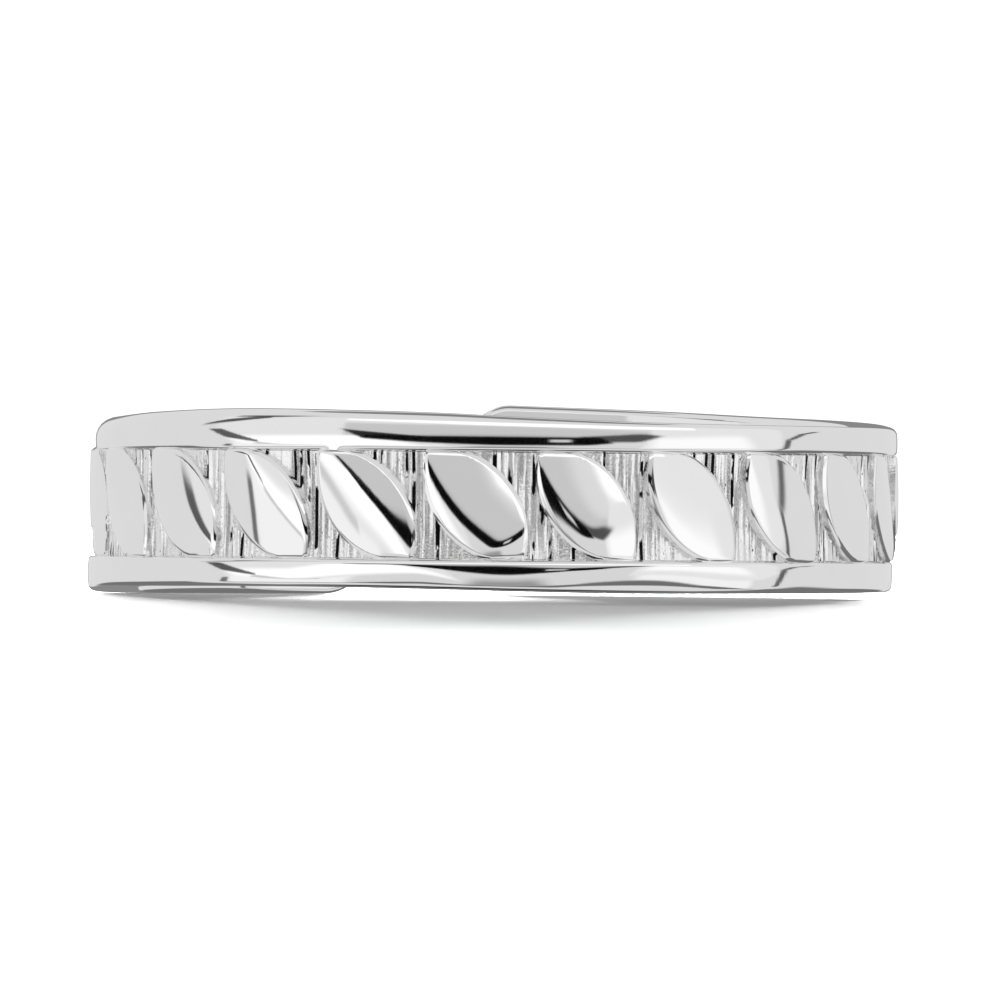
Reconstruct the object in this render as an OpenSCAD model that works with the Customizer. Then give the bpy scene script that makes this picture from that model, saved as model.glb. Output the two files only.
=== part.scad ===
// An open toe ring, cast in one piece: two rounded rails run along the edges of the band,
// and a row of slanted domed leaves stands in the channel between them.
// The ring lies on its side. Its axis is Z, the middle of the decorated front faces -Y,
// and the gap between the two tails is at the back. Angles are taken from the front,
// positive toward +X. Lengths are in millimetres.

/* [Band] */
// Inside diameter of the ring
inside_d = 14.8; // [14:0.1:15.2]
// Size of the bevel along the inner edges
inner_bevel = 0.12; // [0.05:0.01:0.2]
// Rounding of the lower outer edge
low_edge_round = 0.11; // [0.05:0.01:0.2]
// Fall of a rail's face from its crest to its outer edge
rail_fall = 0.05; // [0.02:0.01:0.08]

/* [Channel] */
// Radius of the channel's floor
floor_r = 8.24; // [8.1:0.01:8.27]
// Height of the channel's lower side
channel_low_z = -1.23; // [-1.3:0.01:-1.15]
// Height of the channel's upper side
channel_high_z = 1.0; // [0.9:0.01:1.05]
// Angle where the channel ends on the left
channel_start_a = -127; // [-132:1:-127]
// Angle where the channel ends on the right
channel_end_a = 122; // [122:1:130]

/* [Leaves] */
// Number of leaves in the row
leaf_count = 15; // [9:2:15]
// Angle between neighbouring leaves
leaf_pitch_a = 16; // [15.5:0.1:16]
// Angle of the middle leaf
middle_leaf_a = -2.5; // [-3:0.1:-2]
// Radius from the ring's axis to a leaf's crest
leaf_crest_r = 8.4; // [8.36:0.01:8.45]
// Radius of the two arcs that bound a leaf
leaf_arc_r = 1.87; // [1.8:0.01:1.95]
// Distance from a leaf's middle to the centre of each arc
leaf_arc_offset = 1.03; // [0.98:0.01:1.08]
// Slope of a leaf's short way above the horizontal
leaf_slope_a = 40.5; // [35:0.5:45]
// Radius of the dome across a leaf
dome_across_r = 3.2; // [3:0.1:4]
// Radius of the dome along a leaf
dome_along_r = 6.1; // [5.5:0.1:7]

/* [Tails] */
// Angle of the left tail's tip
left_tip_a = -161; // [-165:1:-155]
// Angle of the right tail's tip
right_tip_a = 184; // [178:1:186]
// Corner radius of the left tail's tip
left_corner_r = 1.3; // [1:0.1:1.3]
// Corner radius of the right tail's tip
right_corner_r = 0.9; // [0.6:0.1:1.3]

/* [Hidden] */

// The band's measured course, a row for each place around it. The columns are the angle,
// the bottom edge's height, the top edge's height, the lower rail's crest radius,
// the upper rail's crest radius, and the rounding of the upper outer edge.
COURSE = [
    [-165, -2.01, 1.400, 8.38, 8.280, 0.18],
    [-125, -2.01, 1.420, 8.43, 8.280, 0.25],
    [-103, -2.00, 1.520, 8.45, 8.290, 0.38],
    [ -88, -1.93, 1.640, 8.45, 8.300, 0.42],
    [ -75, -1.85, 1.690, 8.41, 8.310, 0.42],
    [ -60, -1.83, 1.765, 8.37, 8.330, 0.30],
    [ -40, -1.81, 1.840, 8.36, 8.350, 0.18],
    [ -25, -1.81, 1.825, 8.36, 8.360, 0.14],
    [  -8, -1.82, 1.775, 8.36, 8.360, 0.12],
    [   4, -1.84, 1.700, 8.36, 8.360, 0.11],
    [  20, -1.87, 1.620, 8.35, 8.365, 0.10],
    [  41, -1.86, 1.580, 8.34, 8.370, 0.10],
    [  78, -1.85, 1.570, 8.32, 8.385, 0.14],
    [  92, -1.83, 1.590, 8.31, 8.385, 0.17],
    [ 104, -1.76, 1.660, 8.31, 8.370, 0.17],
    [ 118, -1.66, 1.724, 8.31, 8.350, 0.15],
    [ 137, -1.55, 1.802, 8.32, 8.340, 0.13],
    [ 157, -1.45, 1.915, 8.33, 8.330, 0.12],
    [ 188, -1.34, 2.045, 8.33, 8.330, 0.12]
];
ANGLE = 0;
BOTTOM = 1;
TOP = 2;
LOW_CREST = 3;
HIGH_CREST = 4;
TOP_ROUND = 5;

bore_r = inside_d / 2;
mean_r = (bore_r + leaf_crest_r) / 2;
// Angle between the band's sections, and the longer one within a rounded tip's arc
section_step_a = 4;
corner_step_a = 15;
edge_step_a = 30;
// The smooth sleeve that makes the bore: how far it stands in from the swept wall,
// its thickness, and the heights between which it runs
sleeve_step = 0.02;
sleeve_t = 0.25;
sleeve_low_z = -1.2;
sleeve_high_z = 1.2;
wall_inner_r = bore_r + sleeve_step;
// Length of the slope at each end of the channel, as an angle
channel_end_slope_a = 1.5;
// Where a rail's crest lies, as a share of the rail's width from the channel
crest_share = 0.33;
// Share of a plain tail's height that each rail keeps
plain_rail_share = 0.2;
// A rail's inner corner: fall and width of its round, fall and rise of its foot
corner_fall = 0.008;
corner_w = 0.05;
brow_fall = 0.035;
brow_w = 0.012;
foot_w = 0.03;
// The end face of a tail is drawn in by this much
tip_inset = 0.1;
// Ends of the leaf's cut, inside the wall and above the dome
leaf_root_r = 7.9;
leaf_cut_r = 8.7;
leaf_rail_lap = 0.05;

// Slope of a column of the course at row i, from the rows on both sides of it
function course_slope(i, column) =
    let (last = len(COURSE) - 1, a = max(i - 1, 0), b = min(i + 1, last))
    (COURSE[b][column] - COURSE[a][column]) / (COURSE[b][ANGLE] - COURSE[a][ANGLE]);

// Number of the course's row just before an angle
function course_row(angle, i = 0) =
    i >= len(COURSE) - 2 || COURSE[i + 1][ANGLE] > angle ? i : course_row(angle, i + 1);

// A column of the course at any angle, on a smooth cubic through the rows
function course_at(angle, column) =
    let (
        i = course_row(angle),
        span = COURSE[i + 1][ANGLE] - COURSE[i][ANGLE],
        t = (angle - COURSE[i][ANGLE]) / span,
        from = COURSE[i][column],
        to = COURSE[i + 1][column],
        slope_from = course_slope(i, column) * span,
        slope_to = course_slope(i + 1, column) * span
    )
    from * (1 + 2 * t) * (1 - t) * (1 - t) + slope_from * t * (1 - t) * (1 - t)
    + to * t * t * (3 - 2 * t) - slope_to * t * t * (1 - t);

function mix(a, b, share) = a + (b - a) * share;
function clamp01(x) = min(max(x, 0), 1);

// How far the channel is cut at an angle: 1 along the row of leaves, 0 on the plain tails
function channel_share(angle) = min(
    clamp01((angle - channel_start_a) / channel_end_slope_a),
    clamp01((channel_end_a - angle) / channel_end_slope_a)
);

// Draws the edges in over the rounded corner of a tip that is a given length away
function corner_inset(length_to_tip, corner_r) =
    let (along = max(corner_r - length_to_tip, 0))
    corner_r - sqrt(max(corner_r * corner_r - along * along, 0));
function arc_length(angle) = mean_r * angle * PI / 180;
function edge_inset(angle) =
    corner_inset(arc_length(angle - left_tip_a), left_corner_r)
    + corner_inset(arc_length(right_tip_a - angle), right_corner_r);

// One section of the wall as [radius, height] points, from the inner bottom edge outward
// and up to the inner top edge. Inset draws the whole outer face in at a tail's end.
function section(angle, inset = 0) =
    let (
        bottom = course_at(angle, BOTTOM) + edge_inset(angle) + inset,
        top = course_at(angle, TOP) - edge_inset(angle) - inset,
        low_r = course_at(angle, LOW_CREST) - inset,
        high_r = course_at(angle, HIGH_CREST) - inset,
        cut = channel_share(angle),
        rail_plain = (top - bottom) * plain_rail_share,
        low_side = mix(bottom + rail_plain, channel_low_z, cut),
        high_side = mix(top - rail_plain, channel_high_z, cut),
        bevel = min(inner_bevel, rail_plain),
        corner = min(corner_w, rail_plain * crest_share / 2),
        low_round = min(low_edge_round, rail_plain / 2),
        high_round = min(course_at(angle, TOP_ROUND), rail_plain),
        low_edge_r = low_r - rail_fall,
        high_edge_r = high_r - rail_fall,
        low_crest = mix(low_side, bottom, crest_share),
        high_crest = mix(high_side, top, crest_share),
        low_half = (bottom + low_round + low_crest) / 2,
        high_half = (top - high_round + high_crest) / 2
    )
    concat(
        [
            [wall_inner_r, bottom + bevel],
            [wall_inner_r + bevel, bottom]
        ],
        [
            for (a = [0:edge_step_a:90])
                [low_edge_r - low_round * (1 - sin(a)), bottom + low_round * (1 - cos(a))]
        ],
        [
            [low_r - rail_fall / 4, low_half],
            [low_r, low_crest],
            [low_r - corner_fall * cut, low_side - corner],
            [low_r - brow_fall * cut, low_side - brow_w],
            [mix(low_r, floor_r, cut), low_side + foot_w],
            [mix(high_r, floor_r, cut), high_side - foot_w],
            [high_r - brow_fall * cut, high_side + brow_w],
            [high_r - corner_fall * cut, high_side + corner],
            [high_r, high_crest],
            [high_r - rail_fall / 4, high_half]
        ],
        [
            for (a = [90:-edge_step_a:0])
                [high_edge_r - high_round * (1 - sin(a)), top - high_round * (1 - cos(a))]
        ],
        [
            [wall_inner_r + bevel, top],
            [wall_inner_r, top - bevel]
        ]
    );

// Angles of a tip's arc, closer together toward its end
function corner_angles(tip_a, corner_r, side) =
    let (reach_a = corner_r / mean_r * 180 / PI)
    [for (a = [0:corner_step_a:90]) tip_a + side * reach_a * (1 - sin(a))];
left_corner = corner_angles(left_tip_a, left_corner_r, 1);
right_corner = corner_angles(right_tip_a, right_corner_r, -1);
tip_step_a = tip_inset / mean_r * 180 / PI;
body_angles = [for (a = [left_corner[0] + section_step_a:section_step_a:right_corner[0] - 1]) a];
all_angles = concat(
    [for (i = [len(left_corner) - 1:-1:0]) left_corner[i]],
    body_angles,
    right_corner
);

function placed(angle, points) =
    [for (p = points) [p[0] * sin(angle), -p[0] * cos(angle), p[1]]];

// Joins a row of equally long sections into one closed solid, with a fan over each end
module swept(sections) {
    rings = len(sections);
    n = len(sections[0]);
    walls = [
        for (i = [0:rings - 2], j = [0:n - 1], half = [0, 1])
            let (
                here = i * n + j,
                beside = i * n + (j + 1) % n,
                next = here + n,
                next_beside = beside + n
            )
            half == 0 ? [here, beside, next_beside] : [here, next_beside, next]
    ];
    start = [for (j = [1:n - 2]) [0, j + 1, j]];
    last = (rings - 1) * n;
    end = [for (j = [1:n - 2]) [last, last + j, last + j + 1]];
    polyhedron(points = [for (s = sections) each s], faces = concat(walls, start, end));
}

module wall() {
    swept(concat(
        [placed(left_tip_a - tip_step_a, section(left_tip_a, tip_inset))],
        [for (a = all_angles) placed(a, section(a))],
        [placed(right_tip_a + tip_step_a, section(right_tip_a, tip_inset))]
    ));
}

// The outline of a leaf seen along its own radius: the space that two arcs share,
// with its tips cut off where they meet the rails
module leaf_outline() {
    height = channel_high_z - channel_low_z + 2 * leaf_rail_lap;
    intersection() {
        rotate(leaf_slope_a) translate([leaf_arc_offset, 0]) circle(leaf_arc_r, $fn = 96);
        rotate(leaf_slope_a) translate([-leaf_arc_offset, 0]) circle(leaf_arc_r, $fn = 96);
        square([2 * leaf_arc_r, height], center = true);
    }
}

// A leaf at the middle of the front: its outline cut outward through a dome that is
// rounder across the leaf than along it
module leaf() {
    dome_centre_r = dome_along_r - dome_across_r;
    intersection() {
        translate([0, -leaf_root_r, 0])
            rotate([90, 0, 0]) linear_extrude(leaf_cut_r - leaf_root_r) leaf_outline();
        translate([0, dome_along_r - leaf_crest_r, 0])
            rotate([0, -leaf_slope_a, 0])
                rotate([0, 0, -90])
                    rotate_extrude($fn = 96)
                        intersection() {
                            translate([dome_centre_r, 0]) circle(dome_across_r, $fn = 96);
                            translate([0, -dome_across_r]) square([dome_along_r + 1, 2 * dome_across_r]);
                        }
    }
}

module leaves() {
    for (i = [0:leaf_count - 1])
        rotate(middle_leaf_a + (i - (leaf_count - 1) / 2) * leaf_pitch_a)
            translate([0, 0, (channel_low_z + channel_high_z) / 2]) leaf();
}

// The round inner face, between the two tails' rounded corners
module sleeve() {
    start_a = left_corner[0];
    rotate(start_a - 90)
        rotate_extrude(angle = right_corner[0] - start_a, $fn = 180)
            translate([bore_r, sleeve_low_z]) square([sleeve_t, sleeve_high_z - sleeve_low_z]);
}

module band() {
    color("silver") {
        wall();
        sleeve();
        leaves();
    }
}

band();
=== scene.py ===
"""Looks of the open toe ring: one polished silver band with two crowned rails, a lined channel
between them and a row of slanted leaves. The lengths of the ring and of the flag are in millimetres
until their meshes are made, and those of the rest of the stage and the camera are in metres."""

import math
import random

import bmesh
import bpy
from mathutils import Matrix, Vector


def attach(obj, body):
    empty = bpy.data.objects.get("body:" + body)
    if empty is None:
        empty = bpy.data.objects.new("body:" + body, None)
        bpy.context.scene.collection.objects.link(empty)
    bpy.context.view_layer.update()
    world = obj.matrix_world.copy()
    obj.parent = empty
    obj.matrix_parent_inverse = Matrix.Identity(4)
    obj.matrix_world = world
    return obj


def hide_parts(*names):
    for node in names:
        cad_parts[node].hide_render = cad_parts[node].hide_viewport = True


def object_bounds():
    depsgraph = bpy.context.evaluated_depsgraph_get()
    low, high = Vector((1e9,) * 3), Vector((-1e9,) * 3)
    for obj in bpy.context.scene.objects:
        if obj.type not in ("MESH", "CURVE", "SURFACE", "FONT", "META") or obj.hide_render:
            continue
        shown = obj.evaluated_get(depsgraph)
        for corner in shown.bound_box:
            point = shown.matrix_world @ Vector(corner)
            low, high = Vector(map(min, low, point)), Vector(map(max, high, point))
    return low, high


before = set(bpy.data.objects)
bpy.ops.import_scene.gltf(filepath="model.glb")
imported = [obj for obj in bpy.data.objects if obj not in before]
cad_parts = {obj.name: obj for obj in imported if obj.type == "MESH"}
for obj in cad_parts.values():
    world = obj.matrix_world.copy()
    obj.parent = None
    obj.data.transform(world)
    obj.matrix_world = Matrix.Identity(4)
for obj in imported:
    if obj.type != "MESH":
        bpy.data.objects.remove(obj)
cad_low, cad_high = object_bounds()

MM = 0.001

# The band's measured course: angle, bottom, top, lower crest radius, upper crest radius, rounding of
# the top outer edge. It is the one in part.scad, but for the bottom at -8, 4, 20 and 41 degrees,
# which is 0.02 to 0.03 lower to meet the photo's outline.
COURSE = [
    (-165, -2.01, 1.400, 8.38, 8.280, 0.18),
    (-125, -2.01, 1.420, 8.43, 8.280, 0.25),
    (-103, -2.00, 1.520, 8.45, 8.290, 0.38),
    (-88, -1.93, 1.640, 8.45, 8.300, 0.42),
    (-75, -1.85, 1.690, 8.41, 8.310, 0.42),
    (-60, -1.83, 1.765, 8.37, 8.330, 0.30),
    (-40, -1.81, 1.840, 8.36, 8.350, 0.18),
    (-25, -1.81, 1.825, 8.36, 8.360, 0.14),
    (-8, -1.84, 1.775, 8.36, 8.360, 0.12),
    (4, -1.87, 1.700, 8.36, 8.360, 0.11),
    (20, -1.895, 1.620, 8.35, 8.365, 0.10),
    (41, -1.88, 1.580, 8.34, 8.370, 0.10),
    (78, -1.85, 1.570, 8.32, 8.385, 0.14),
    (92, -1.83, 1.590, 8.31, 8.385, 0.17),
    (104, -1.76, 1.660, 8.31, 8.370, 0.17),
    (118, -1.66, 1.724, 8.31, 8.350, 0.15),
    (137, -1.55, 1.802, 8.32, 8.340, 0.13),
    (157, -1.45, 1.915, 8.33, 8.330, 0.12),
    (188, -1.34, 2.045, 8.33, 8.330, 0.12),
]
ANGLE, BOTTOM, TOP, LOW_CREST, HIGH_CREST, TOP_ROUND = range(6)

# Band
BORE_R = 7.4
INNER_ROUND = 0.12
INNER_STEPS = 4
LOW_ROUND = 0.10
LEFT_TIP = -161.0
RIGHT_TIP = 184.0
LEFT_CORNER_R = 1.3
RIGHT_CORNER_R = 0.9
MEAN_R = 7.9
LENGTH_PER_DEGREE = MEAN_R * math.pi / 180
PLAIN_RAIL_SHARE = 0.2
# The edges of a section lower than this are rounded less.
FULL_HEIGHT = 1.2
# Sections along the tails: the steps over a tip's rounded corner, the angle from the tip to the
# last of them, how far the end face is drawn in, and the angle between sections elsewhere.
TIP_STEPS = 12
TIP_STEP = 0.7
TIP_INSET = 0.1
PLAIN_STEP = 0.8

# Channel
CHANNEL_LOW = -1.23
CHANNEL_HIGH = 1.0
CHANNEL_START = -127.0
CHANNEL_END = 122.0
CHANNEL_SLOPE = 1.5
FLOOR_R = 8.24
FLOOR_POINTS = 5

# Crown of the rails: how far the crest is from the channel, the crown's radius, and the width over
# which the two faces beside a peaked crest meet
CREST_IN = 0.225
CROWN_R = 2.4
PEAK_W = 0.06
# The lower rail was polished unevenly: angle, how far its crest is from the channel, and how steep
# each face beside the crest is.
LOW_RAIL = [
    (-180, 0.25, 0.0),
    (-60, 0.32, 0.0),
    (-32, 0.30, 0.0),
    (-20, 0.12, 0.0),
    (-14, 0.105, 0.02),
    (-10, 0.14, 0.04),
    (-4, 0.19, 0.01),
    (2, 0.21, 0.0),
    (7, 0.20, 0.02),
    (14, 0.165, 0.075),
    (25, 0.10, 0.08),
    (45, 0.20, 0.02),
    (190, 0.225, 0.0),
]
LOW_CREST_IN, PEAK = 1, 2
# A tongue of metal hangs from the upper rail over the channel: its angle, its half width in degrees,
# its length, and how far the corner's top moves with it, as a share of that length.
TONGUE_AT = -23.2
TONGUE_W = 0.62
TONGUE_LENGTH = 0.16
TONGUE_TOP = 0.8
# Rounded corner of a rail down into the channel, and how far the wall under it slopes
CORNER_W = 0.10
CORNER_FALL = 0.06
WALL_SLOPE = 0.018
# The wall's knee and foot: how deep the knee is, as a share of the channel's depth, and how far
# out each is, in wall slopes
KNEE_DEPTH = 0.85
KNEE_SLOPE = 0.7
FOOT_SLOPE = 1.6
# On a low rail the crest's distance and the outer rounding are limited to these shares of the
# rail's height, the corner's width to this share of the crest's distance, and the corner's fall to
# this share of the channel's depth.
CREST_LIMIT = 0.5
EDGE_LIMIT = 0.7
CORNER_LIMIT = 0.95
FALL_LIMIT = 0.5
# Points along a rail: steps round its outer edge, over its face and round its corner, and the
# space between the last two
EDGE_STEPS = 6
FACE_STEPS = 9
CORNER_STEPS = 5
FACE_GAP = 0.01

# Lines cut across the channel's floor. The pairs are limits of random values: a groove's middle and
# half width as shares of the space between two lines, its depth as a share of LINE_DEPTH, and the
# fall of a line's shoulders as a share of LINE_CROWN.
SEED = 7
LINES_PER_PITCH = 14
LINE_DEPTH = 0.032
LINE_CROWN = 0.027
LINE_WOBBLE = 0.006
FLOOR_UNEVEN = 0.002
FIRST_LINE = 0.3
LINE_JITTER = 0.17
DEEP_SHARE = 0.4
GROOVE_MIDDLE = (0.46, 0.54)
DEEP_HALF = (0.28, 0.36)
SHALLOW_HALF = (0.12, 0.2)
DEEP_DEPTH = (1.0, 1.6)
SHALLOW_DEPTH = (0.6, 1.0)
SHOULDER = (0.7, 1.2)
TOP_UNEVEN = 0.1
# Width of a groove's bottom as a share of its whole width
GROOVE_BOTTOM = 0.7

# Leaves: each is bounded by two arcs, its upper end leans to the left and both ends lap the rails.
LEAF_PITCH = 16.0
MIDDLE_LEAF = -2.5
LEAF_ARC_R = 1.87
LEAF_ARC_OFFSET = 1.03
LEAF_SLOPE = 40.5
LEAF_LAP = 0.05
LEAF_ROOT_R = 8.1
LEAF_CREST_R = 8.42
# Radius at which a leaf's outline is wrapped round the ring
LEAF_WRAP_R = 8.4
LEAF_HALF_W = 0.84
LEAF_COLUMNS = 28
LEAF_ROWS = 40
RIDGE_W = 0.14
RIDGE_TAPER = 0.45
ACROSS_CURVE = 0.08
MARGIN_TILT = 0.015
MARGIN_POWER = 6
UPPER_CURVE = 0.02
LOWER_CURVE = 0.045
BEVEL_W = 0.07
BEVEL_TILT = 0.5
BEVEL_CORNER = 0.008
END_W = 0.05
END_TILT = 1.3
END_CORNER = 0.02
SKIRT = 0.05
# Each leaf from the left end of the row: where its soft ridge runs across it, how far the ridge
# bows toward its ends, how steep the two flanks are, how far the face leans up, how fast the lower
# tip droops and how far below the leaf's middle the droop starts.
LEAVES = [
    (-0.20, 0.09, 0.08, 0.00, 0.3, 0.88),
    (-0.25, 0.09, 0.08, 0.00, 0.3, 0.88),
    (-0.30, 0.09, 0.08, 0.00, 0.3, 0.88),
    (-0.20, 0.09, 0.07, 0.00, 0.0, 0.88),
    (-0.05, 0.09, 0.08, 0.00, 0.0, 0.88),
    (0.36, 0.04, 0.065, -0.01, 0.0, 0.88),
    (0.17, -0.05, 0.085, 0.0, 0.0, 0.88),
    (-0.36, 0.11, 0.085, 0.01, 0.7, 0.88),
    (-0.42, 0.12, 0.085, 0.015, 0.15, 0.35),
    (-0.60, 0.12, 0.06, 0.00, 0.0, 0.88),
    (-0.30, 0.09, 0.03, 0.00, 0.0, 0.88),
    (-0.20, 0.09, 0.07, 0.00, 0.2, 0.88),
    (-0.25, 0.09, 0.08, 0.00, 0.3, 0.88),
    (-0.30, 0.09, 0.08, 0.00, 0.3, 0.88),
    (-0.20, 0.09, 0.08, 0.00, 0.3, 0.88),
]
RIDGE_AT, BOW, RIDGE_TILT, LEAN, DROOP, DROOP_FROM = range(6)

# The silvers' places in the list of materials; the lined silver and the groove silver carry painted shade
POLISHED, LINED, SHADED_GROOVE = range(3)

# Edges bent by more than this stay sharp.
SHARP_ANGLE = 32

# Silver: its darkest and lightest tint, how far its gloss varies, and its dark spots of painted shade, which
# stand in for the shade in the channel's lines and grooves
GRAIN_DETAIL = 6.0
TINT_LOW = (0.90, 0.90, 0.90, 1)
TINT_HIGH = (0.95, 0.95, 0.948, 1)
GLOSS_VARIES = 0.25
SHADE_DETAIL = 3.0
SHADE_STRETCH = (1.0, 1.0, 0.4)
PAINTED_SHADE_COLOR = (0.008, 0.008, 0.008, 1)
# Painted shade: noise under a limit is dark: the limit where the shaded share is 0, how much higher it is
# where the share is 1, and the softness of a spot's edge.
SHADE_START = 0.28
SHADE_RANGE = 0.44
SHADE_EDGE = 0.02


def clamp(x, low=0.0, high=1.0):
    return max(low, min(high, x))


def mix(a, b, share):
    return a + (b - a) * share


def table_slope(table, i, column):
    a, b = max(i - 1, 0), min(i + 1, len(table) - 1)
    return (table[b][column] - table[a][column]) / (table[b][ANGLE] - table[a][ANGLE])


def table_at(table, angle, column):
    """A column of a table at any angle, on the same smooth cubic as the course in part.scad."""
    i = 0
    while i < len(table) - 2 and table[i + 1][ANGLE] <= angle:
        i += 1
    span = table[i + 1][ANGLE] - table[i][ANGLE]
    t = (angle - table[i][ANGLE]) / span
    slope_a = table_slope(table, i, column) * span
    slope_b = table_slope(table, i + 1, column) * span
    start, end = table[i][column], table[i + 1][column]
    return (
        start * (1 + 2 * t) * (1 - t) ** 2
        + slope_a * t * (1 - t) ** 2
        + end * t * t * (3 - 2 * t)
        - slope_b * t * t * (1 - t)
    )


def channel_share(angle):
    """How far the channel is cut: 1 along the leaves, 0 on the plain tails."""
    return min(
        clamp((angle - CHANNEL_START) / CHANNEL_SLOPE),
        clamp((CHANNEL_END - angle) / CHANNEL_SLOPE),
    )


def corner_inset(length_to_tip, corner_r):
    along = max(corner_r - length_to_tip, 0)
    return corner_r - math.sqrt(max(corner_r**2 - along**2, 0))


def edge_inset(angle):
    """How far both edges are drawn in at an angle by the tips' rounded corners."""
    left = corner_inset((angle - LEFT_TIP) * LENGTH_PER_DEGREE, LEFT_CORNER_R)
    right = corner_inset((RIGHT_TIP - angle) * LENGTH_PER_DEGREE, RIGHT_CORNER_R)
    return left + right


def rail(edge_z, side_z, crest_r, edge_round, cut, up, crest_in, peak, tongue=0.0):
    """Points [r, z] of one rail from its outer edge to the channel's floor. up is +1 for the
    upper rail and -1 for the lower one, and the points run toward the channel."""
    height = (edge_z - side_z) * up
    crest_in = min(crest_in, height * CREST_LIMIT)
    corner_w = min(CORNER_W, CORNER_LIMIT * crest_in)
    crest_z = side_z + up * crest_in
    edge_round = min(edge_round, height * EDGE_LIMIT)
    face_end = height - crest_in - edge_round
    points = []

    def face_r(distance):
        crown = distance**2 / (2 * CROWN_R)
        return crest_r - crown - peak * PEAK_W * math.log(math.cosh(distance / PEAK_W))

    face_tilt = math.atan(max(face_end, 0) / CROWN_R + peak * math.tanh(max(face_end, 0) / PEAK_W))
    start_r = face_r(face_end)
    span = math.pi / 2 - face_tilt
    scale = edge_round / (1 - math.sin(face_tilt))
    for i in range(EDGE_STEPS + 1):
        a = math.pi / 2 - span * i / EDGE_STEPS
        r = start_r - scale * (math.cos(face_tilt) - math.cos(a))
        z = edge_z - up * scale * (1 - math.sin(a))
        points.append([r, z])
    stop = crest_in - corner_w
    for i in range(1, FACE_STEPS + 1):
        d = mix(face_end, -stop + FACE_GAP, math.sin(math.pi / 2 * i / FACE_STEPS))
        points.append([face_r(abs(d)), crest_z + up * d])
    last_r = face_r(stop)
    points.append([last_r, crest_z - up * (stop + tongue * TONGUE_TOP)])
    depth = mix(0, last_r - FLOOR_R, cut)
    fall = min(CORNER_FALL, depth * FALL_LIMIT)
    for i in range(1, CORNER_STEPS + 1):
        a = math.pi / 2 * i / CORNER_STEPS
        z = side_z + up * (corner_w * (1 - math.sin(a)) - tongue)
        points.append([last_r - fall * (1 - math.cos(a)), z])
    knee = mix(0, depth * KNEE_DEPTH, cut)
    points.append([last_r - knee, side_z - up * (WALL_SLOPE * KNEE_SLOPE + tongue)])
    points.append([last_r - depth, side_z - up * (WALL_SLOPE * FOOT_SLOPE + tongue)])
    return points


def section(angle, inset=0.0):
    """One section of the band as [r, z, kind] from the inner bottom round the outside."""
    shrink = edge_inset(angle)
    bottom = table_at(COURSE, angle, BOTTOM) + shrink
    top = table_at(COURSE, angle, TOP) - shrink
    low_r = table_at(COURSE, angle, LOW_CREST) - inset
    high_r = table_at(COURSE, angle, HIGH_CREST) - inset
    cut = channel_share(angle)
    plain = (top - bottom) * PLAIN_RAIL_SHARE
    low_side = mix(bottom + plain, CHANNEL_LOW, cut)
    high_side = mix(top - plain, CHANNEL_HIGH, cut)
    room = min(1.0, (top - bottom) / FULL_HEIGHT)
    inner = INNER_ROUND * room
    points = []
    for i in range(INNER_STEPS + 1):
        a = math.pi / 2 * i / INNER_STEPS
        points.append([BORE_R + inner * (1 - math.cos(a)), bottom + inner * (1 - math.sin(a)), "band"])
    crest_in = table_at(LOW_RAIL, angle, LOW_CREST_IN)
    peak = table_at(LOW_RAIL, angle, PEAK)
    low = rail(bottom, low_side, low_r, LOW_ROUND * room, cut, -1, crest_in, peak)
    points += [[r, z, "band"] for r, z in low]
    tongue = TONGUE_LENGTH * math.exp(-(((angle - TONGUE_AT) / TONGUE_W) ** 2))
    top_round = table_at(COURSE, angle, TOP_ROUND) * room
    high = rail(top, high_side, high_r, top_round, cut, 1, CREST_IN, 0.0, tongue)
    start, end = low[-1], high[-1]
    for i in range(1, FLOOR_POINTS + 1):
        share = i / (FLOOR_POINTS + 1)
        points.append([mix(start[0], end[0], share), mix(start[1], end[1], share), "floor"])
    points += [[r, z, "band"] for r, z in reversed(high)]
    for i in range(INNER_STEPS + 1):
        a = math.pi / 2 * (INNER_STEPS - i) / INNER_STEPS
        points.append([BORE_R + inner * (1 - math.cos(a)), top - inner * (1 - math.sin(a)), "band"])
    return points


def line_angles(rng):
    """Sections of the lined channel as (angle, depth, dark): the top of each line, then the groove beside
    it, whose bottom gets painted shade where it was cut deep."""
    pitch = LEAF_PITCH / LINES_PER_PITCH
    start = CHANNEL_START + CHANNEL_SLOPE
    count = int((CHANNEL_END - CHANNEL_SLOPE - start) / pitch)
    tops = [
        start + (i + FIRST_LINE + rng.uniform(-LINE_JITTER, LINE_JITTER)) * pitch
        for i in range(count)
    ]
    sections = []
    for top, after in zip(tops, tops[1:]):
        gap = after - top
        centre = top + gap * rng.uniform(*GROOVE_MIDDLE)
        deep = rng.random() < DEEP_SHARE
        half = gap * rng.uniform(*(DEEP_HALF if deep else SHALLOW_HALF))
        depth = LINE_DEPTH * rng.uniform(*(DEEP_DEPTH if deep else SHALLOW_DEPTH))
        sections.append((top, rng.uniform(-TOP_UNEVEN, TOP_UNEVEN) * LINE_CROWN, False))
        sections.append((centre - half, LINE_CROWN * rng.uniform(*SHOULDER), False))
        sections.append((centre - half * GROOVE_BOTTOM, depth, deep))
        sections.append((centre + half * GROOVE_BOTTOM, depth, False))
        sections.append((centre + half, LINE_CROWN * rng.uniform(*SHOULDER), False))
    return sections


def floor_finish(row):
    """The silver of the channel's floor from a row of sections to the next one: silver with painted shade at
    the bottoms of deep grooves.
    """
    angle, _, dark = row
    if not CHANNEL_START <= angle < CHANNEL_END:
        return POLISHED
    return SHADED_GROOVE if dark else LINED


def place(r, angle, z):
    """A point at a radius, an angle from the front and a height, in metres."""
    a = math.radians(angle)
    return Vector((r * math.sin(a), -r * math.cos(a), z)) * MM


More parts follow.
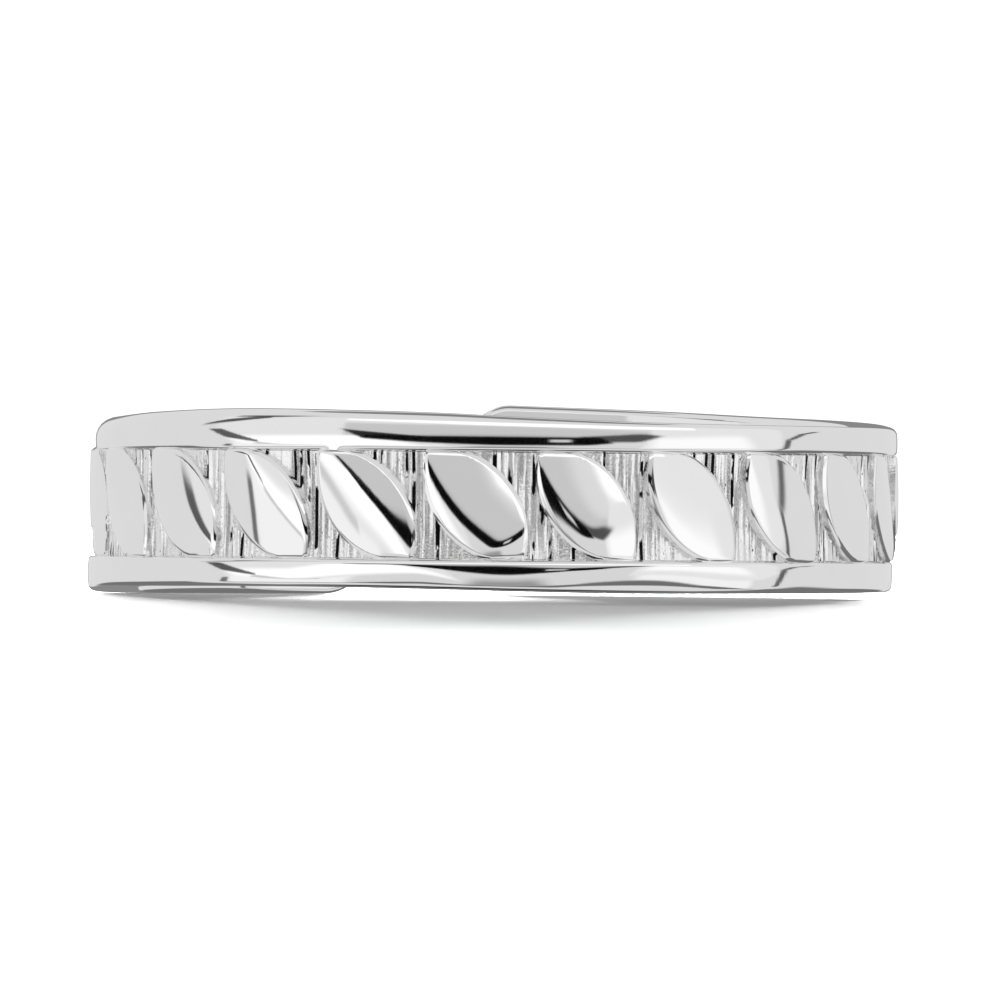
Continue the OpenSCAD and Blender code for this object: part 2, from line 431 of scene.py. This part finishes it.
def band_mesh():
    """The band without its leaves, swept along fine sections where the channel has lines."""
    rng = random.Random(SEED)
    rows = []
    left_reach = LEFT_CORNER_R / LENGTH_PER_DEGREE
    right_reach = RIGHT_CORNER_R / LENGTH_PER_DEGREE
    for i in range(TIP_STEPS + 1):
        from_end = mix(left_reach, TIP_STEP, math.cos(math.pi / 2 * i / TIP_STEPS))
        rows.append((LEFT_TIP + from_end, 0.0, False))
    a = LEFT_TIP + left_reach + PLAIN_STEP
    while a < CHANNEL_START:
        rows.append((a, 0.0, False))
        a += PLAIN_STEP
    rows.append((CHANNEL_START, 0.0, False))
    rows += line_angles(rng)
    rows.append((CHANNEL_END, 0.0, False))
    a = CHANNEL_END + PLAIN_STEP
    while a < RIGHT_TIP - right_reach - PLAIN_STEP / 2:
        rows.append((a, 0.0, False))
        a += PLAIN_STEP
    for i in range(TIP_STEPS + 1):
        from_end = mix(right_reach, TIP_STEP, math.sin(math.pi / 2 * i / TIP_STEPS))
        rows.append((RIGHT_TIP - from_end, 0.0, False))
    bm = bmesh.new()
    rings = []
    first = section(LEFT_TIP, TIP_INSET)
    kinds = [p[2] for p in first]
    rings.append([bm.verts.new(place(p[0], LEFT_TIP, p[1])) for p in first])
    for angle, depth, _ in rows:
        ring = []
        for r, z, kind in section(angle):
            turn = 0.0
            if kind == "floor" and depth:
                r = r - depth + rng.uniform(-FLOOR_UNEVEN, FLOOR_UNEVEN)
                turn = LINE_WOBBLE * rng.uniform(-1, 1)
            ring.append(bm.verts.new(place(r, angle + turn, z)))
        rings.append(ring)
    last = section(RIGHT_TIP, TIP_INSET)
    rings.append([bm.verts.new(place(p[0], RIGHT_TIP, p[1])) for p in last])
    n = len(kinds)
    finishes = [POLISHED] + [floor_finish(row) for row in rows]
    for here, there, finish in zip(rings, rings[1:], finishes):
        for k in range(n):
            m = (k + 1) % n
            face = bm.faces.new((here[k], here[m], there[m], there[k]))
            face.material_index = finish if "floor" in (kinds[k], kinds[m]) else POLISHED
    bm.faces.new(list(reversed(rings[0])))
    bm.faces.new(rings[-1])
    bmesh.ops.recalc_face_normals(bm, faces=bm.faces)
    return bm


def leaf_reach(z):
    """Where a leaf starts and ends, left to right, at a height z above its middle."""
    slope = math.radians(LEAF_SLOPE)
    left, right = -math.inf, math.inf
    for side in (-1, 1):
        centre_x = side * LEAF_ARC_OFFSET * math.cos(slope)
        centre_z = side * LEAF_ARC_OFFSET * math.sin(slope)
        half = math.sqrt(max(LEAF_ARC_R**2 - (z - centre_z) ** 2, 0))
        left, right = max(left, centre_x - half), min(right, centre_x + half)
    return left, right


def soft_slope(into, tilt, corner):
    """A slope that starts with a small round corner."""
    return tilt * into * into / (into + corner)


def leaf_fall(across, along, z, leaf):
    """How far a leaf's face lies below its crest: two flanks that meet in a soft ridge, margins
    that turn down, a drooping lower tip, a bevelled outline, and ends that dip to the rails."""
    s = across - leaf[RIDGE_AT] - leaf[BOW] * along * along
    width = RIDGE_W * (1 - RIDGE_TAPER * along)
    flanks = leaf[RIDGE_TILT] * width * math.log(math.cosh(s / width)) + ACROSS_CURVE * s * s / 2
    margin = MARGIN_TILT * LEAF_HALF_W / MARGIN_POWER * (across / LEAF_HALF_W) ** MARGIN_POWER
    curve = UPPER_CURVE if along > 0 else LOWER_CURVE
    tip = leaf[DROOP] * max(-along - leaf[DROOP_FROM], 0) ** 2 / 2
    from_side = LEAF_ARC_R - math.hypot(abs(across) + LEAF_ARC_OFFSET, along)
    bevel = soft_slope(max(BEVEL_W - from_side, 0), BEVEL_TILT, BEVEL_CORNER)
    from_rail = (CHANNEL_HIGH - CHANNEL_LOW) / 2 - abs(z)
    end = soft_slope(max(END_W - from_rail, 0), END_TILT, END_CORNER)
    return flanks + margin + curve * along * along / 2 + tip + leaf[LEAN] * z + bevel + end


def add_leaf(bm, angle, leaf):
    """One leaf as a closed shell that stands in the channel's floor."""
    slope = math.radians(LEAF_SLOPE)
    middle_z = (CHANNEL_LOW + CHANNEL_HIGH) / 2
    top_z = (CHANNEL_HIGH - CHANNEL_LOW) / 2 + LEAF_LAP
    grid, foot = [], []
    for j in range(LEAF_ROWS + 1):
        z = -top_z * math.cos(math.pi * j / LEAF_ROWS)
        left, right = leaf_reach(z)
        line, base = [], []
        for i in range(LEAF_COLUMNS + 1):
            t = (1 - math.cos(math.pi * i / LEAF_COLUMNS)) / 2
            x = mix(left, right, t)
            across = x * math.cos(slope) + z * math.sin(slope)
            along = -x * math.sin(slope) + z * math.cos(slope)
            r = LEAF_CREST_R - leaf_fall(across, along, z, leaf)
            turn = math.degrees(x / LEAF_WRAP_R)
            line.append(bm.verts.new(place(r, angle + turn, middle_z + z)))
            wider = math.degrees(SKIRT * (2 * i / LEAF_COLUMNS - 1) / LEAF_WRAP_R)
            base.append(bm.verts.new(place(LEAF_ROOT_R, angle + turn + wider, middle_z + z)))
        grid.append(line)
        foot.append(base)
    for j in range(LEAF_ROWS):
        for i in range(LEAF_COLUMNS):
            bm.faces.new((grid[j][i], grid[j][i + 1], grid[j + 1][i + 1], grid[j + 1][i]))
            bm.faces.new((foot[j][i], foot[j + 1][i], foot[j + 1][i + 1], foot[j][i + 1]))
        left_wall = bm.faces.new((grid[j][0], grid[j + 1][0], foot[j + 1][0], foot[j][0]))
        right_wall = bm.faces.new((grid[j][-1], foot[j][-1], foot[j + 1][-1], grid[j + 1][-1]))
        # The leaf's side walls take the lined silver and its spots of painted shade.
        left_wall.material_index = LINED
        right_wall.material_index = LINED
    for i in range(LEAF_COLUMNS):
        bm.faces.new((grid[0][i], foot[0][i], foot[0][i + 1], grid[0][i + 1]))
        bm.faces.new((grid[-1][i], grid[-1][i + 1], foot[-1][i + 1], foot[-1][i]))


def leaves_mesh():
    """All the leaves, each a shell of its own."""
    bm = bmesh.new()
    for i, leaf in enumerate(LEAVES):
        add_leaf(bm, MIDDLE_LEAF + (i - (len(LEAVES) - 1) / 2) * LEAF_PITCH, leaf)
    bmesh.ops.recalc_face_normals(bm, faces=bm.faces)
    return bm


def make_object(name, bm):
    mesh = bpy.data.meshes.new(name)
    bm.to_mesh(mesh)
    bm.free()
    obj = bpy.data.objects.new(name, mesh)
    bpy.context.scene.collection.objects.link(obj)
    return obj


def node(tree, kind, **values):
    """A new node of a tree, with its properties set."""
    made = tree.nodes.new(kind)
    for key, value in values.items():
        setattr(made, key, value)
    return made


def silver(name, roughness, grain, grain_scale, shade_share=0.0, shade_scale=1.0):
    """Bright silver: a fine grain in tint, gloss and bump, and dark spots of painted shade over part of it,
    standing in for the shade in the channel's lines and grooves. grain is the bump's height, and the scales
    are those of the grain's and the painted shade's noise."""
    mat = bpy.data.materials.new(name)
    mat.use_nodes = True
    tree = mat.node_tree
    shader = tree.nodes["Principled BSDF"]
    shader.inputs["Metallic"].default_value = 1.0
    coords = node(tree, "ShaderNodeTexCoord")
    noise = node(tree, "ShaderNodeTexNoise")
    noise.inputs["Scale"].default_value = grain_scale
    noise.inputs["Detail"].default_value = GRAIN_DETAIL
    tree.links.new(coords.outputs["Object"], noise.inputs["Vector"])
    tint = node(tree, "ShaderNodeValToRGB")
    tint.color_ramp.elements[0].color = TINT_LOW
    tint.color_ramp.elements[1].color = TINT_HIGH
    tree.links.new(noise.outputs["Fac"], tint.inputs["Fac"])
    # Painted shade: dark spots are multiplied into the tint where the noise is low, for the shade in the
    # lines and grooves.
    if shade_share > 0:
        shade_noise = node(tree, "ShaderNodeTexNoise")
        shade_noise.inputs["Scale"].default_value = shade_scale
        shade_noise.inputs["Detail"].default_value = SHADE_DETAIL
        stretch = node(tree, "ShaderNodeVectorMath", operation="MULTIPLY")
        stretch.inputs[1].default_value = SHADE_STRETCH
        tree.links.new(coords.outputs["Object"], stretch.inputs[0])
        tree.links.new(stretch.outputs["Vector"], shade_noise.inputs["Vector"])
        step = node(tree, "ShaderNodeValToRGB")
        middle = SHADE_START + SHADE_RANGE * shade_share
        step.color_ramp.elements[0].position = middle - SHADE_EDGE
        step.color_ramp.elements[0].color = PAINTED_SHADE_COLOR
        step.color_ramp.elements[1].position = middle + SHADE_EDGE
        tree.links.new(shade_noise.outputs["Fac"], step.inputs["Fac"])
        darken = node(tree, "ShaderNodeMix", data_type="RGBA", blend_type="MULTIPLY")
        darken.inputs["Factor"].default_value = 1.0
        tree.links.new(tint.outputs["Color"], darken.inputs["A"])
        tree.links.new(step.outputs["Color"], darken.inputs["B"])
        tree.links.new(darken.outputs["Result"], shader.inputs["Base Color"])
    else:
        tree.links.new(tint.outputs["Color"], shader.inputs["Base Color"])
    rough = node(tree, "ShaderNodeMapRange")
    rough.inputs["To Min"].default_value = roughness * (1 - GLOSS_VARIES)
    rough.inputs["To Max"].default_value = roughness * (1 + GLOSS_VARIES)
    tree.links.new(noise.outputs["Fac"], rough.inputs["Value"])
    tree.links.new(rough.outputs["Result"], shader.inputs["Roughness"])
    bump = node(tree, "ShaderNodeBump")
    bump.inputs["Strength"].default_value = 1.0
    bump.inputs["Distance"].default_value = grain * MM
    tree.links.new(noise.outputs["Fac"], bump.inputs["Height"])
    tree.links.new(bump.outputs["Normal"], shader.inputs["Normal"])
    return mat


# In the order of polished, lined and deep-groove silver; the lined and groove silvers carry painted shade,
# much more of it in the grooves
SILVERS = [
    silver("polished_silver", roughness=0.05, grain=0.0006, grain_scale=900.0),
    silver(
        "lined_silver_painted_shade", roughness=0.20, grain=0.008, grain_scale=16000.0, shade_share=0.06, shade_scale=30000.0
    ),
    silver(
        "groove_painted_shade_silver", roughness=0.25, grain=0.007, grain_scale=16000.0, shade_share=0.50, shade_scale=4500.0
    ),
]

band = make_object("ring_band", band_mesh())
leaves = make_object("ring_leaves", leaves_mesh())
for finish in SILVERS:
    band.data.materials.append(finish)
    leaves.data.materials.append(finish)

union = band.modifiers.new("leaves", "BOOLEAN")
union.operation = "UNION"
union.object = leaves
union.solver = "EXACT"
deps = bpy.context.evaluated_depsgraph_get()
joined = bpy.data.meshes.new_from_object(band.evaluated_get(deps))
band.modifiers.clear()
band.data = joined
bpy.data.objects.remove(leaves)
for polygon in joined.polygons:
    polygon.use_smooth = True
joined.set_sharp_from_angle(angle=math.radians(SHARP_ANGLE))

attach(band, "root")
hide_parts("band")

# Stage: a pale floor and a dome of light whose soft cards are mixed in its material. The floor is a
# hair below the ring and ends in front of the strips of light.
FLOOR_SIZE = 3.0
FLOOR_X = 0.4
FLOOR_Y = -0.56
FLOOR_DROP = 2e-6
FLOOR_TINT = 0.9
FLOOR_ROUGHNESS = 0.9
FLOOR_SHINE = 0.1
floor_at = (FLOOR_X, FLOOR_Y, cad_low.z - FLOOR_DROP)
bpy.ops.mesh.primitive_plane_add(size=FLOOR_SIZE, location=floor_at)
floor = bpy.context.object
floor.name = "floor"
floor.visible_glossy = False
paper = bpy.data.materials.new("pale_paper")
paper.use_nodes = True
paper_shader = paper.node_tree.nodes["Principled BSDF"]
paper_shader.inputs["Base Color"].default_value = (FLOOR_TINT, FLOOR_TINT, FLOOR_TINT, 1)
paper_shader.inputs["Roughness"].default_value = FLOOR_ROUGHNESS
paper_shader.inputs["Specular IOR Level"].default_value = FLOOR_SHINE
floor.data.materials.append(paper)

# Low strips of light far behind the ring throw its shadow toward the camera, and a broad sun above
# fills it. The metal sees only the tent. Each strip is given by its lowest and highest elevation
# as seen from the ring and by how bright it makes the floor, where 1 is white.
STRIPS = [
    (0.1, 1.15, 2.3),
    (1.15, 1.65, 0.12),
    (1.65, 2.9, 0.25),
    (2.9, 5.8, 0.14),
    (5.8, 9.5, 0.17),
]
STRIP_DISTANCE = 1.0
STRIP_HALF_ANGLE = 6.0
FILL_ENERGY = 0.9
FILL_ANGLE = 60
strip_width = 2 * STRIP_DISTANCE * math.tan(math.radians(STRIP_HALF_ANGLE))


def stage_lamp(name, kind):
    """A lamp that lights the floor and shows neither in the metal nor to the camera."""
    data = bpy.data.lights.new(name, kind)
    lamp = bpy.data.objects.new(name, data)
    bpy.context.scene.collection.objects.link(lamp)
    lamp.visible_glossy = False
    lamp.visible_camera = False
    return lamp


for lowest, highest, share in STRIPS:
    z_low = STRIP_DISTANCE * math.tan(math.radians(lowest))
    z_high = STRIP_DISTANCE * math.tan(math.radians(highest))
    strip = stage_lamp("strip", "AREA")
    strip.data.shape = "RECTANGLE"
    strip.data.size = strip_width
    strip.data.size_y = z_high - z_low
    strip.location = (0, STRIP_DISTANCE, cad_low.z + (z_low + z_high) / 2)
    strip.rotation_euler = (math.radians(-90), 0, 0)
    reach = strip_width / STRIP_DISTANCE * (z_high**2 - z_low**2) / (2 * STRIP_DISTANCE**2)
    radiance = share * math.pi / (FLOOR_TINT * reach)
    strip.data.energy = radiance * math.pi * strip_width * (z_high - z_low)
fill = stage_lamp("fill", "SUN")
fill.data.energy = FILL_ENERGY
fill.data.angle = math.radians(FILL_ANGLE)

# A curved flag keeps the low light out of the gap under the raised tail.
FLAG_START = 96.0
FLAG_END = 180.0
FLAG_HEIGHT = 1.0
FLAG_STEPS = 24
flag_bm = bmesh.new()
floor_z = cad_low.z / MM
flag_rows = []
for i in range(FLAG_STEPS + 1):
    flag_angle = mix(FLAG_START, FLAG_END, i / FLAG_STEPS)
    foot_point = place(MEAN_R, flag_angle, floor_z)
    head_point = place(MEAN_R, flag_angle, floor_z + FLAG_HEIGHT)
    flag_rows.append([flag_bm.verts.new(foot_point), flag_bm.verts.new(head_point)])
for here, there in zip(flag_rows, flag_rows[1:]):
    flag_bm.faces.new((here[0], there[0], there[1], here[1]))
flag = make_object("flag", flag_bm)
flag.visible_camera = False
flag.visible_glossy = False
flag.visible_diffuse = False

TENT_R = 1.5
TENT_SUBDIVISIONS = 5
bpy.ops.mesh.primitive_ico_sphere_add(subdivisions=TENT_SUBDIVISIONS, radius=TENT_R)
dome = bpy.context.object
dome.name = "light_tent"
dome.visible_camera = False
dome.visible_diffuse = False
dome.visible_shadow = False

# Cards of the tent as the ring sees them: corners as (azimuth, height) in degrees, azimuth from
# the camera toward +X and height above the horizon, then the softness of the edges in degrees
# and the brightness. Each card lies over the ones before it. TENT is the brightness between them.
CARDS = [
    ("back_shade", [(-171, -40), (-190, -40), (-190, 40), (-171, 40)], 4, 0.25),
    ("back_shade_right", [(171, 40), (190, 40), (190, -40), (171, -40)], 4, 0.25),
    ("high_dark", [(-190, 62), (190, 62), (190, 91), (-190, 91)], 4, 0.24),
    ("low_dark", [(-190, -56), (190, -56), (190, -91), (-190, -91)], 8, 0.04),
    ("side_low", [(88, -20), (100, -12), (190, -12), (190, -91), (88, -91)], 4, 0.18),
    ("side_low_left", [(-100, -14), (-190, -14), (-190, -91), (-100, -91)], 4, 0.18),
    ("front_low", [(-82, -22), (-82, -3), (80, -3), (80, -22)], 3, 0.95),
    ("front_low_middle", [(-44, -22), (-40, -9), (-20, -2), (44, -2), (44, -22)], 5, 0.72),
    ("lower_dip", [(-12, -28), (-6, -10), (14, -10), (22, -28)], 8, 0.33),
    ("low_line", [(-88, -26), (-88, -21), (84, -21), (84, -26)], 2, 0.16),
    (
        "left_box",
        [(-88, 4), (-88, 22), (-20, 22), (-12, -13), (-42, -10.5), (-58, -7.5), (-75, -3)],
        2,
        0.82,
    ),
    ("left_box_bright", [(-80, -3), (-84, 2), (-34, 4), (-12, -13), (-42, -9)], 4, 1.12),
    ("right_box", [(40, -17), (44, 2), (52, 60), (92, 60), (90, -3), (83, -9), (69, -14)], 2, 0.84),
    ("right_box_bright", [(45, -12), (46, 3), (76, 5), (80, -6)], 6, 1.05),
    ("front_grey", [(-44, 4), (-44, 15), (0, 14), (45, 9), (46, 2)], 2.5, 0.60),
    ("front_line", [(-44, 15.5), (-44, 21), (60, 21), (60, 11), (45, 9.5), (0, 14)], 1.2, 1.15),
    ("top_line", [(-84, 16), (-70, 20), (90, 20), (90, 26), (-84, 26)], 2, 0.10),
    ("top_strip", [(-84, 26), (90, 26), (90, 62), (-84, 62)], 3, 0.74),
    ("front_dim", [(-44, 12), (-34, 2), (40, 0), (54, 10), (30, 8), (-10, 7.5)], 6, 0.40),
    ("right_arm", [(24, -1.2), (42, -0.6), (49, 5), (43, 7), (24, 4)], 2.5, 0.08),
    ("left_tip", [(-45, 9.5), (-38, 1.2), (-20, 0), (-20, 3.5)], 1.5, 0.02),
    (
        "front_dark",
        [(-38, 4.2), (-38, 1.2), (-21, -2.6), (0, -4.9), (27, -4.2), (34, -2), (30, 3.4)],
        2,
        0.003,
    ),
    ("spark", [(15.5, -1.2), (15.5, 1.0), (21.5, 1.0), (21.5, -1.2)], 2, 0.7),
    ("left_frame", [(-94, 8.8), (-82, 12.5), (-70, 19), (-70, 23), (-86, 16)], 1.2, 0.10),
    ("left_frame_foot", [(-91, 6.5), (-86, 7), (-72, -1.2), (-72, -2.6), (-84, 1)], 1.0, 0.10),
    ("left_line", [(-74, -3.8), (-72, -2.4), (-50, -8.4), (-50, -9.8)], 1.0, 0.62),
    ("left_line_low", [(-87, -16), (-84, -4), (-81.5, -4), (-84, -16)], 1.2, 0.15),
    ("right_frame", [(89, -14), (91.5, 2), (94, 2), (91, -14)], 1.2, 0.12),
    ("right_frame_top", [(91.5, 2), (104, 10), (108, 10), (94.5, 2)], 1.2, 0.12),
]
TENT = 0.75


def turns_left(corners):
    """True if the corners run anticlockwise, with azimuth across and height up."""
    return sum(a[0] * b[1] - b[0] * a[1] for a, b in zip(corners, corners[1:] + corners[:1])) > 0


def card_mask(tree, place_on, corners, soft):
    """Product of one soft step for each side of a card."""
    if not turns_left(corners):
        corners = corners[::-1]
    mask = None
    for (az0, el0), (az1, el1) in zip(corners, corners[1:] + corners[:1]):
        length = math.hypot(az1 - az0, el1 - el0)
        across, up = -(el1 - el0) / length, (az1 - az0) / length
        inward = node(tree, "ShaderNodeVectorMath", operation="DOT_PRODUCT")
        inward.inputs[1].default_value = (across, up, -(across * az0 + up * el0))
        tree.links.new(place_on, inward.inputs[0])
        step = node(tree, "ShaderNodeMapRange", interpolation_type="SMOOTHSTEP")
        step.inputs["From Min"].default_value = -soft / 2
        step.inputs["From Max"].default_value = soft / 2
        tree.links.new(inward.outputs["Value"], step.inputs["Value"])
        if mask is None:
            mask = step.outputs["Result"]
            continue
        times = node(tree, "ShaderNodeMath", operation="MULTIPLY")
        tree.links.new(mask, times.inputs[0])
        tree.links.new(step.outputs["Result"], times.inputs[1])
        mask = times.outputs[0]
    return mask


def tent_material():
    """Light whose brightness depends on the direction from the ring, as the cards say."""
    mat = bpy.data.materials.new("tent_light")
    mat.use_nodes = True
    tree = mat.node_tree
    tree.nodes.clear()
    out = node(tree, "ShaderNodeOutputMaterial")
    light = node(tree, "ShaderNodeEmission")
    tree.links.new(light.outputs[0], out.inputs["Surface"])
    coords = node(tree, "ShaderNodeTexCoord")
    unit = node(tree, "ShaderNodeVectorMath", operation="NORMALIZE")
    tree.links.new(coords.outputs["Object"], unit.inputs[0])
    parts = node(tree, "ShaderNodeSeparateXYZ")
    tree.links.new(unit.outputs[0], parts.inputs[0])
    front = node(tree, "ShaderNodeMath", operation="MULTIPLY")
    front.inputs[1].default_value = -1.0
    tree.links.new(parts.outputs["Y"], front.inputs[0])
    azimuth = node(tree, "ShaderNodeMath", operation="ARCTAN2")
    tree.links.new(parts.outputs["X"], azimuth.inputs[0])
    tree.links.new(front.outputs[0], azimuth.inputs[1])
    height = node(tree, "ShaderNodeMath", operation="ARCSINE")
    tree.links.new(parts.outputs["Z"], height.inputs[0])
    degrees = []
    for angle in (azimuth, height):
        turned = node(tree, "ShaderNodeMath", operation="DEGREES")
        tree.links.new(angle.outputs[0], turned.inputs[0])
        degrees.append(turned)
    place_on = node(tree, "ShaderNodeCombineXYZ")
    tree.links.new(degrees[0].outputs[0], place_on.inputs["X"])
    tree.links.new(degrees[1].outputs[0], place_on.inputs["Y"])
    place_on.inputs["Z"].default_value = 1.0
    level = node(tree, "ShaderNodeValue")
    level.outputs[0].default_value = TENT
    result = level.outputs[0]
    for _, corners, soft, brightness in CARDS:
        mask = card_mask(tree, place_on.outputs[0], corners, soft)
        over = node(tree, "ShaderNodeMix", data_type="FLOAT")
        over.inputs["B"].default_value = brightness
        tree.links.new(mask, over.inputs["Factor"])
        tree.links.new(result, over.inputs["A"])
        result = over.outputs["Result"]
    tree.links.new(result, light.inputs["Strength"])
    mat.cycles.emission_sampling = "NONE"
    return mat


dome.data.materials.append(tent_material())

WORLD_BRIGHTNESS = 1.15
world = bpy.data.worlds.new("white")
bpy.context.scene.world = world
world.use_nodes = True
world.node_tree.nodes["Background"].inputs["Color"].default_value = (1, 1, 1, 1)
world.node_tree.nodes["Background"].inputs["Strength"].default_value = WORLD_BRIGHTNESS
world.cycles_visibility.diffuse = False

# Camera: level with the ring's middle, far off with a long lens
CAMERA_DISTANCE = 0.450
CAMERA_X = 0.000125
CAMERA_ROLL = 0.5
SENSOR_WIDTH = 36.0
CLIP_START = 0.01
CLIP_END = 5.0
PICTURE_PIXELS = 1000
PIXELS_PER_MM = 48.04
FRAME_WIDTH = PICTURE_PIXELS / PIXELS_PER_MM * MM
camera_data = bpy.data.cameras.new("camera")
camera = bpy.data.objects.new("camera", camera_data)
bpy.context.scene.collection.objects.link(camera)
camera_data.sensor_width = SENSOR_WIDTH
camera_data.lens = SENSOR_WIDTH * CAMERA_DISTANCE / FRAME_WIDTH
camera_data.clip_start = CLIP_START
camera_data.clip_end = CLIP_END
level = Matrix.Rotation(math.radians(90), 4, "X")
roll = Matrix.Rotation(math.radians(CAMERA_ROLL), 4, "Z")
camera.matrix_world = Matrix.Translation((CAMERA_X, -CAMERA_DISTANCE, 0)) @ level @ roll
bpy.context.scene.camera = camera
bpy.context.scene.view_settings.view_transform = "Standard"
